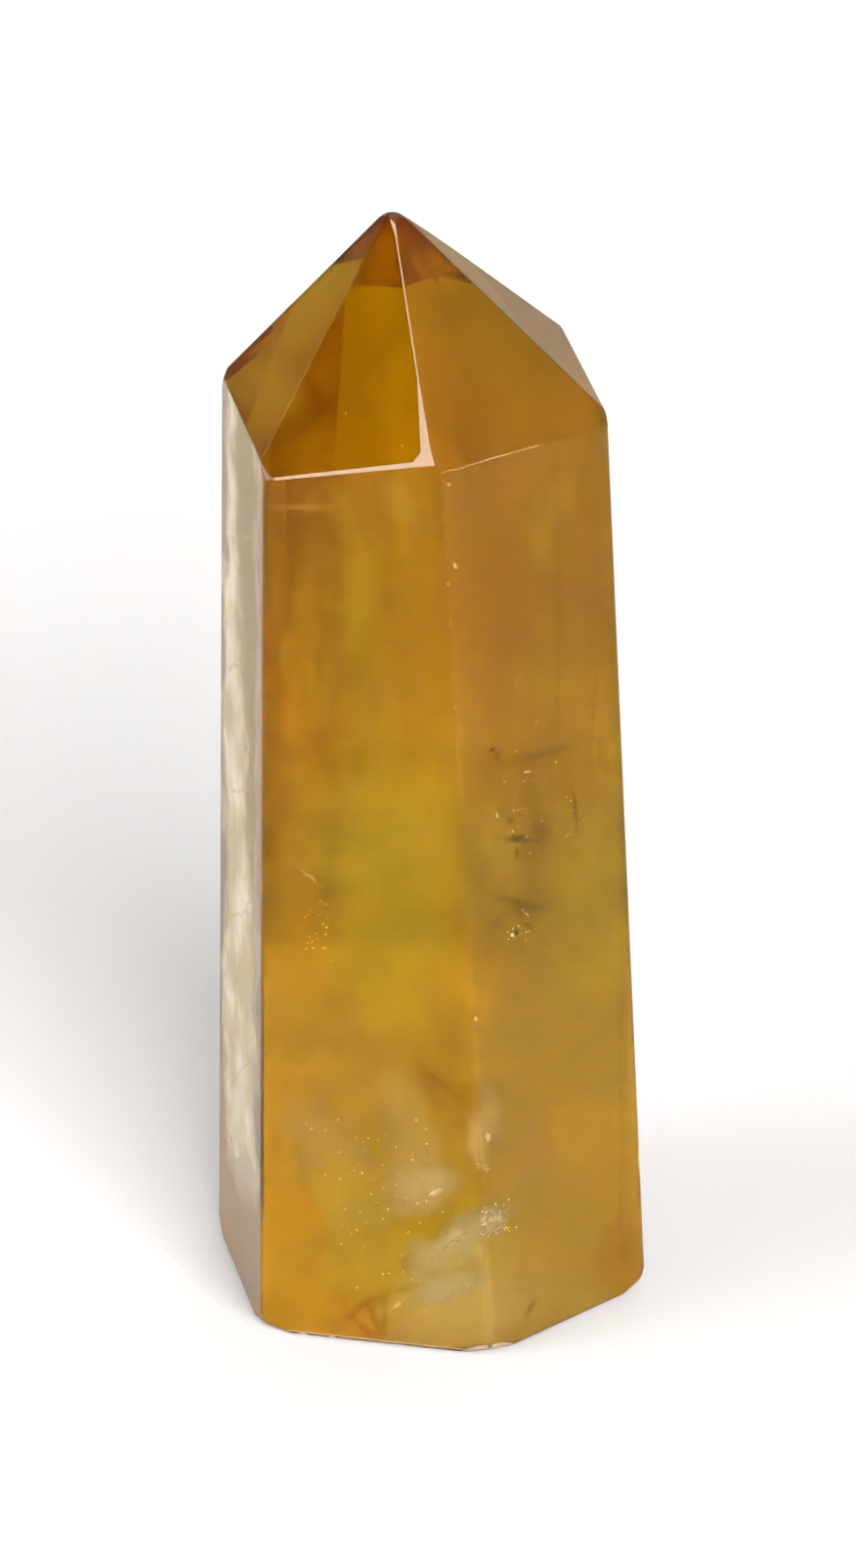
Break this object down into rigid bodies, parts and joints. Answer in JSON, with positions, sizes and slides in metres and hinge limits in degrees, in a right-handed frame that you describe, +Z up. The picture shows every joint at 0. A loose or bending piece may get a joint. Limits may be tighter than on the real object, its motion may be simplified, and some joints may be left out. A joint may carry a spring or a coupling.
{
  "type": "fluorite point",
  "caption": "Polished six-sided point of clear yellow stone, with sloping crown faces to a rounded tip and a flat ground base.",
  "frame": {"origin": "middle of the stone's outline, on the flat ground base", "axes": "+Z up along the stone towards its tip, -Y towards the broad front face, +X to the right of the front face"},
  "size_m": [0.0344, 0.0352, 0.0893],
  "materials": {
    "stone": "polished clear yellow stone with milky veils and fine internal flakes"
  },
  "bodies": {
    "root": {"crystal_point": "stone"}
  },
  "joints": []
}
